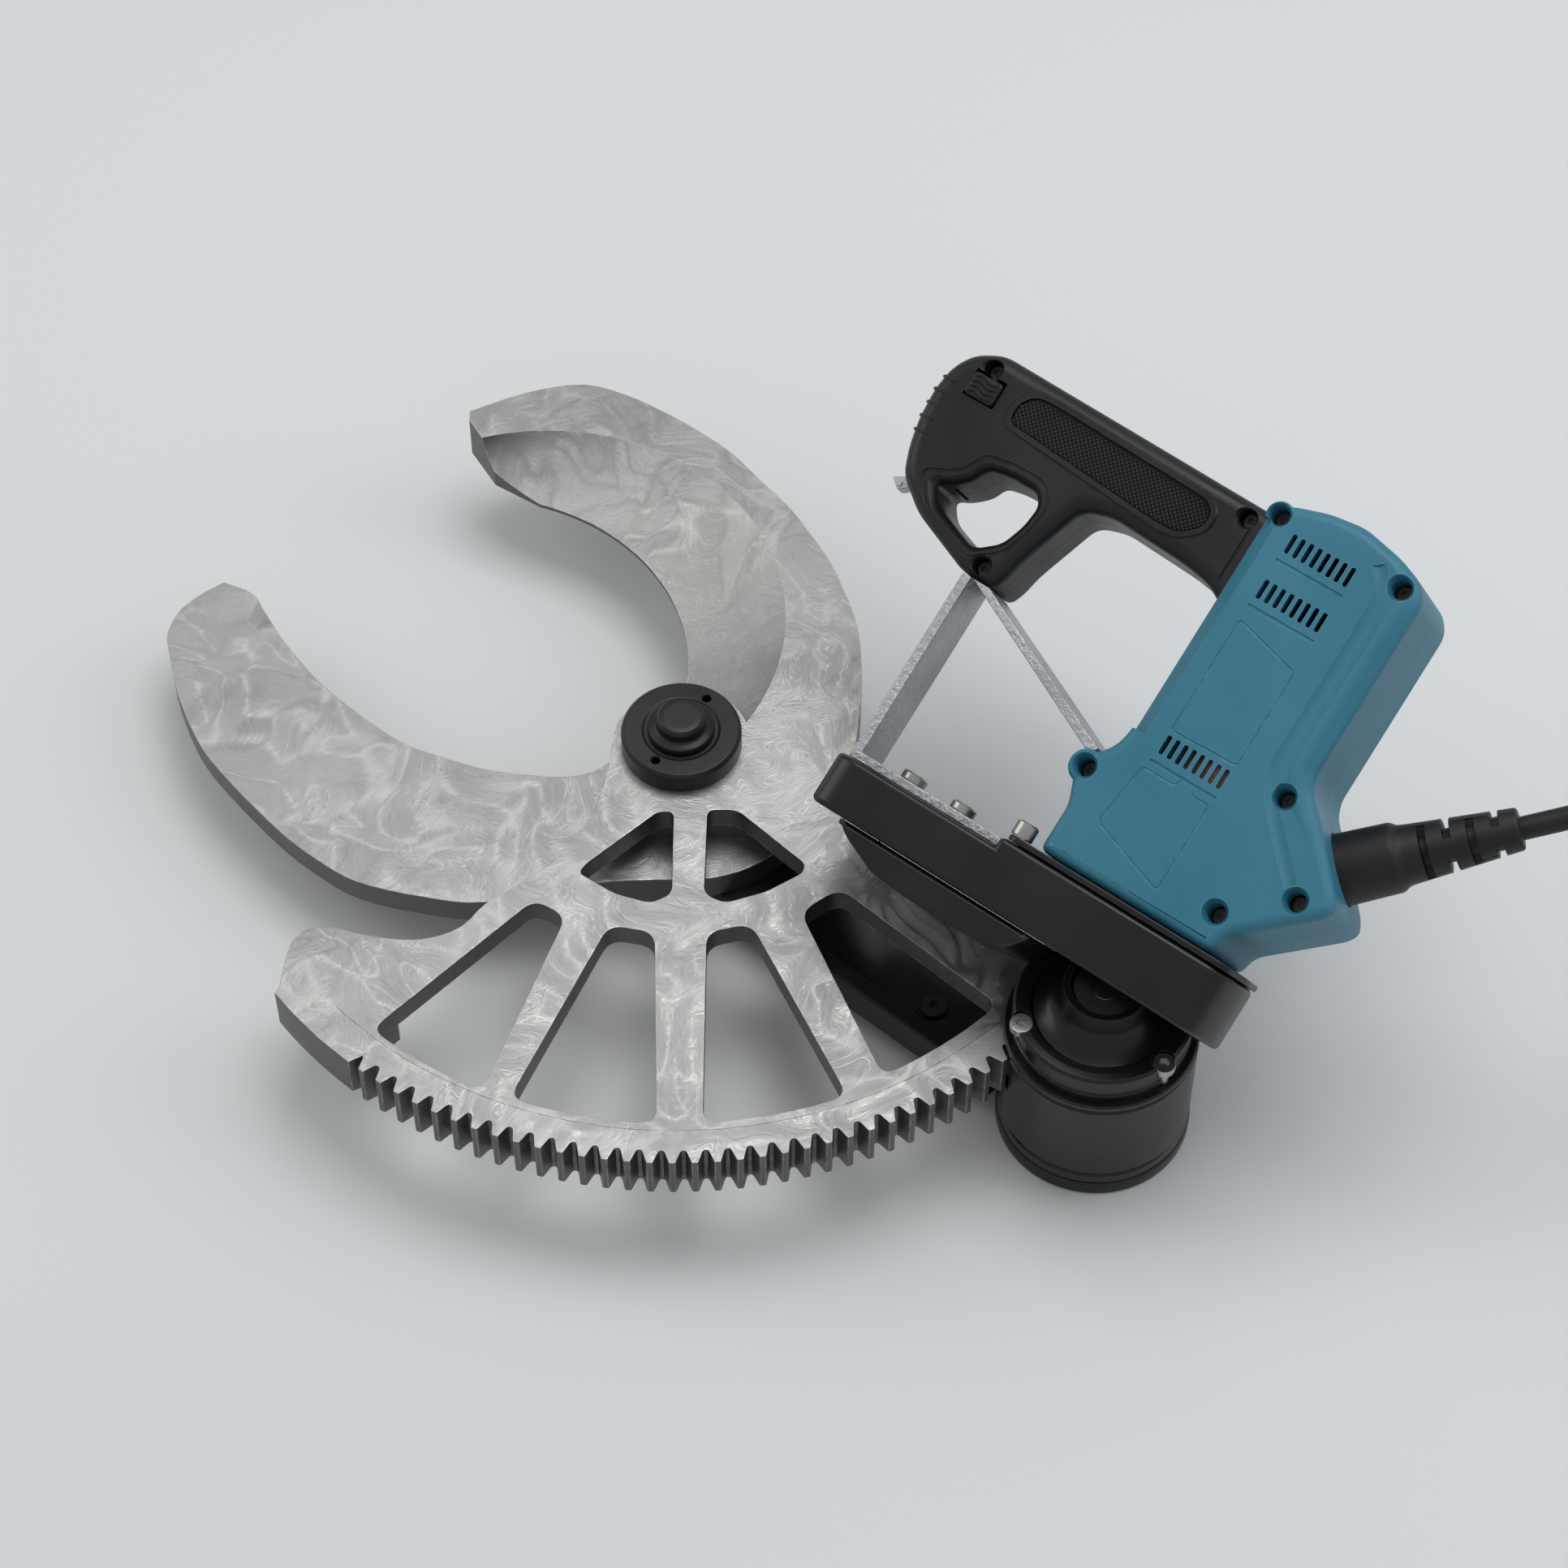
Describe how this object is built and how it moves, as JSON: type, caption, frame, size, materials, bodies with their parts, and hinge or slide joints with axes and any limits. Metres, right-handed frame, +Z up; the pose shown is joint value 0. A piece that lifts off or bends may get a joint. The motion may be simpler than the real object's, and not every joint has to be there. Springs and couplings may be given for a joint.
{
  "type": "electric geared cutter",
  "caption": "Corded electric cutter: two curved jaws on one pivot, a toothed sector driven by a pinion in a drum, a tilted motor body and a pistol handle.",
  "frame": {"origin": "on the pivot axis, at the flat foot under it", "axes": "+Z up along the pivot, +X towards the motor and cord"},
  "size_m": [0.846, 0.4324, 0.2337],
  "materials": {
    "blade_steel": "ground",
    "gear_steel": "machined",
    "blackened_steel": "blackened",
    "screw_steel": "plated",
    "black_paint": "semi-gloss",
    "blue_plastic": "fine texture",
    "black_plastic": "fine texture",
    "grip_rubber": "diamond knurl",
    "aluminium": "brushed",
    "brass": "plain",
    "winding": "varnished",
    "cord_rubber": "matte"
  },
  "bodies": {
    "frame": {"fixed_jaw": "blade_steel", "frame_arm": "black_paint", "pivot_cap": "blackened_steel", "pivot_bolt": "blackened_steel", "pivot_bush": "brass", "jaw_bolt_1": "blackened_steel", "jaw_bolt_2": "blackened_steel", "arm_screw": "blackened_steel", "gear_housing": "black_paint", "housing_cap": "black_paint", "cap_screw_1": "screw_steel", "cap_screw_2": "screw_steel", "base_cover": "black_paint", "lower_bearing": "gear_steel", "upper_bearing": "gear_steel", "reduction_unit": "gear_steel", "gear_case": "black_paint", "gear_case_front": "black_paint", "gear_case_flange": "black_paint", "case_bolt": "screw_steel", "motor_shell_upper": "blue_plastic", "motor_shell_lower": "blue_plastic", "stator": "winding", "rear_bearing": "gear_steel", "carbon_brush_1": "brass", "carbon_brush_2": "brass", "handle_shell_upper": "black_plastic", "handle_shell_lower": "black_plastic", "grip_inlay_upper": "grip_rubber", "grip_inlay_lower": "grip_rubber", "switch_module": "black_plastic", "sling_lug": "aluminium", "brace_left": "aluminium", "brace_right": "aluminium", "brace_bolt_1": "screw_steel", "brace_bolt_2": "screw_steel", "cable_gland": "cord_rubber", "cord": "cord_rubber", "cord_coil": "cord_rubber", "cord_tail": "cord_rubber", "plug_body": "cord_rubber", "plug_pin_1": "brass", "plug_pin_2": "brass", "housing_screw_1": "screw_steel", "housing_screw_2": "screw_steel", "housing_screw_3": "screw_steel", "housing_screw_4": "screw_steel", "housing_screw_5": "screw_steel", "housing_screw_6": "screw_steel", "handle_screw_1": "screw_steel", "handle_screw_2": "screw_steel", "handle_screw_3": "screw_steel"},
    "jaw": {"moving_jaw": "blade_steel"},
    "pinion": {"drive_pinion": "gear_steel", "crown_gear": "gear_steel"},
    "bevel": {"bevel_pinion": "gear_steel"},
    "rotor": {"armature": "gear_steel", "cooling_fan": "black_plastic"},
    "trigger": {"trigger": "black_plastic"},
    "lock": {"lock_button": "black_plastic"}
  },
  "joints": [
    {"name": "jaw_pivot", "type": "hinge", "parent": "frame", "child": "jaw", "pos_m": [0, 0, 0.053], "axis": [0, 0, 1], "range_deg": [0, 84]},
    {"name": "pinion_spin", "type": "hinge", "parent": "frame", "child": "pinion", "pos_m": [0.18102, -0.15297, 0.053], "axis": [0, 0, 1], "continuous": true},
    {"name": "bevel_spin", "type": "hinge", "parent": "frame", "child": "bevel", "pos_m": [0.18551, -0.14428, 0.10555], "axis": [0.5294, 0.6854, 0.5], "continuous": true},
    {"name": "rotor_spin", "type": "hinge", "parent": "frame", "child": "rotor", "pos_m": [0.23315, -0.08259, 0.15055], "axis": [0.5294, 0.6854, 0.5], "continuous": true},
    {"name": "trigger_press", "type": "hinge", "parent": "frame", "child": "trigger", "pos_m": [0.12434, 0.07868, 0.18469], "axis": [-0.3056, -0.3957, 0.866], "range_deg": [0, 12], "stiffness_Nm_per_rad": 0.6, "springref_deg": -6.88},
    {"name": "lock_press", "type": "slide", "parent": "frame", "child": "lock", "axis": [0.3056, 0.3957, -0.866], "range_m": [0, 0.0025], "stiffness_N_per_m": 400, "springref_m": -0.001}
  ],
  "couplings": [
    {"joint": "pinion_spin", "follows": "jaw_pivot", "ratio": -10.286},
    {"joint": "bevel_spin", "follows": "jaw_pivot", "ratio": -20.571},
    {"joint": "rotor_spin", "follows": "jaw_pivot", "ratio": -82.286}
  ]
}
